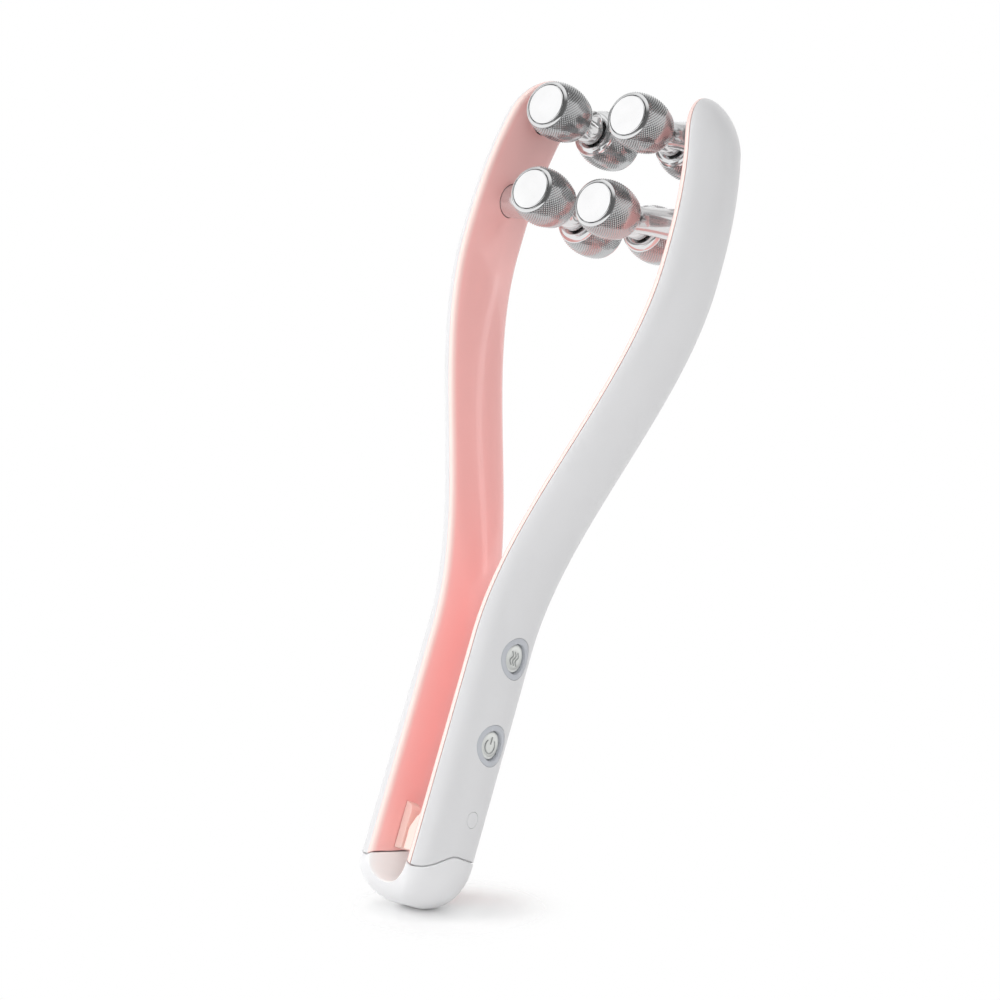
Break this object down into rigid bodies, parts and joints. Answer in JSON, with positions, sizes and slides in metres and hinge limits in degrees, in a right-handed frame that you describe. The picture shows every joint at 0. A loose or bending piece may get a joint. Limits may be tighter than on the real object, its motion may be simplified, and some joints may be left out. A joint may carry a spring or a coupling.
{
  "type": "facial toning device",
  "caption": "Hand-held facial toning device: sprung S-curved arms with pink liners, swivelling heads of knurled rollers, push buttons and an end cap.",
  "frame": {"origin": "middle of the base, under the end cap", "axes": "+Z from the end cap to the tips, +X towards the arm with the buttons, -Y the front"},
  "size_m": [0.0854, 0.0396, 0.242],
  "materials": {
    "white_plastic": "satin gloss",
    "pink_plastic": "high gloss",
    "pale_pink_rubber": "soft satin",
    "grey_plastic": "satin",
    "dark_plastic": "matte",
    "chrome": "polished",
    "knurled_metal": "knurled, with polished ends",
    "mirror": "polished",
    "steel": "brushed",
    "spring_steel": "oiled",
    "foil": "smooth",
    "board": "solder mask"
  },
  "bodies": {
    "base": {"end_cap": "white_plastic", "hinge_bracket": "steel", "hinge_pins": "steel", "return_springs": "spring_steel", "charging_port": "steel", "port_tongue": "dark_plastic"},
    "right_arm": {"right_outer_shell": "white_plastic", "right_liner": "pink_plastic", "right_arm_frame": "dark_plastic", "right_frame_screws": "spring_steel", "right_stop_pad": "pale_pink_rubber", "right_motor": "foil", "control_board": "board", "board_screws": "steel", "tact_switches": "dark_plastic", "indicator_window": "white_plastic", "button_rings": "grey_plastic"},
    "left_arm": {"left_outer_shell": "white_plastic", "left_liner": "pink_plastic", "left_arm_frame": "dark_plastic", "left_frame_screws": "spring_steel", "left_stop_pad": "pale_pink_rubber", "left_motor": "foil", "battery": "foil"},
    "power_key": {"power_button": "chrome"},
    "mode_key": {"mode_button": "chrome"},
    "upper_left_head": {"upper_left_stem": "chrome", "upper_left_stop_washer": "steel", "upper_left_axle": "steel", "upper_left_clips": "spring_steel"},
    "upper_left_front": {"upper_left_front_roller": "knurled_metal", "upper_left_front_disc": "mirror"},
    "upper_left_rear": {"upper_left_rear_roller": "knurled_metal", "upper_left_rear_disc": "mirror"},
    "lower_left_head": {"lower_left_stem": "chrome", "lower_left_stop_washer": "steel", "lower_left_axle": "steel", "lower_left_clips": "spring_steel"},
    "lower_left_front": {"lower_left_front_roller": "knurled_metal", "lower_left_front_disc": "mirror"},
    "lower_left_rear": {"lower_left_rear_roller": "knurled_metal", "lower_left_rear_disc": "mirror"},
    "upper_right_head": {"upper_right_stem": "chrome", "upper_right_stop_washer": "steel", "upper_right_axle": "steel", "upper_right_clips": "spring_steel"},
    "upper_right_front": {"upper_right_front_roller": "knurled_metal", "upper_right_front_disc": "mirror"},
    "upper_right_rear": {"upper_right_rear_roller": "knurled_metal", "upper_right_rear_disc": "mirror"},
    "lower_right_head": {"lower_right_stem": "chrome", "lower_right_stop_washer": "steel", "lower_right_axle": "steel", "lower_right_clips": "spring_steel"},
    "lower_right_front": {"lower_right_front_roller": "knurled_metal", "lower_right_front_disc": "mirror"},
    "lower_right_rear": {"lower_right_rear_roller": "knurled_metal", "lower_right_rear_disc": "mirror"}
  },
  "joints": [
    {"name": "right_arm_swing", "type": "hinge", "parent": "base", "child": "right_arm", "pos_m": [0.0102, 0, 0.0135], "axis": [0, 1, 0], "range_deg": [-0.9, 3], "stiffness_Nm_per_rad": 19},
    {"name": "left_arm_swing", "type": "hinge", "parent": "base", "child": "left_arm", "pos_m": [-0.0102, 0, 0.0135], "axis": [0, -1, 0], "range_deg": [-0.9, 3], "stiffness_Nm_per_rad": 19},
    {"name": "power_press", "type": "slide", "parent": "right_arm", "child": "power_key", "axis": [-1, 0, 0], "range_m": [0, 0.0005], "stiffness_N_per_m": 2000},
    {"name": "mode_press", "type": "slide", "parent": "right_arm", "child": "mode_key", "axis": [-1, 0, 0], "range_m": [0, 0.0005], "stiffness_N_per_m": 2000},
    {"name": "upper_left_swivel", "type": "hinge", "parent": "left_arm", "child": "upper_left_head", "pos_m": [-0.0148, 0, 0.2303], "axis": [1, 0, 0], "range_deg": [-13.2, 16.8]},
    {"name": "upper_left_front_roll", "type": "hinge", "parent": "upper_left_head", "child": "upper_left_front", "pos_m": [-0.0148, 0, 0.2293], "axis": [0, 0.9995, -0.0314], "continuous": true},
    {"name": "upper_left_rear_roll", "type": "hinge", "parent": "upper_left_head", "child": "upper_left_rear", "pos_m": [-0.0148, 0, 0.2293], "axis": [0, 0.9995, -0.0314], "continuous": true},
    {"name": "lower_left_swivel", "type": "hinge", "parent": "left_arm", "child": "lower_left_head", "pos_m": [-0.0118, 0, 0.2046], "axis": [1, 0, 0], "range_deg": [-11.2, 18.8]},
    {"name": "lower_left_front_roll", "type": "hinge", "parent": "lower_left_head", "child": "lower_left_front", "pos_m": [-0.0118, 0, 0.2036], "axis": [0, 0.9978, -0.0663], "continuous": true},
    {"name": "lower_left_rear_roll", "type": "hinge", "parent": "lower_left_head", "child": "lower_left_rear", "pos_m": [-0.0118, 0, 0.2036], "axis": [0, 0.9978, -0.0663], "continuous": true},
    {"name": "upper_right_swivel", "type": "hinge", "parent": "right_arm", "child": "upper_right_head", "pos_m": [0.0148, 0, 0.2303], "axis": [1, 0, 0], "range_deg": [-13.2, 16.8]},
    {"name": "upper_right_front_roll", "type": "hinge", "parent": "upper_right_head", "child": "upper_right_front", "pos_m": [0.0148, 0, 0.2293], "axis": [0, 0.9995, -0.0314], "continuous": true},
    {"name": "upper_right_rear_roll", "type": "hinge", "parent": "upper_right_head", "child": "upper_right_rear", "pos_m": [0.0148, 0, 0.2293], "axis": [0, 0.9995, -0.0314], "continuous": true},
    {"name": "lower_right_swivel", "type": "hinge", "parent": "right_arm", "child": "lower_right_head", "pos_m": [0.0118, 0, 0.2046], "axis": [1, 0, 0], "range_deg": [-14.8, 15.2]},
    {"name": "lower_right_front_roll", "type": "hinge", "parent": "lower_right_head", "child": "lower_right_front", "pos_m": [0.0118, 0, 0.2036], "axis": [0, 1, -0.0035], "continuous": true},
    {"name": "lower_right_rear_roll", "type": "hinge", "parent": "lower_right_head", "child": "lower_right_rear", "pos_m": [0.0118, 0, 0.2036], "axis": [0, 1, -0.0035], "continuous": true}
  ]
}
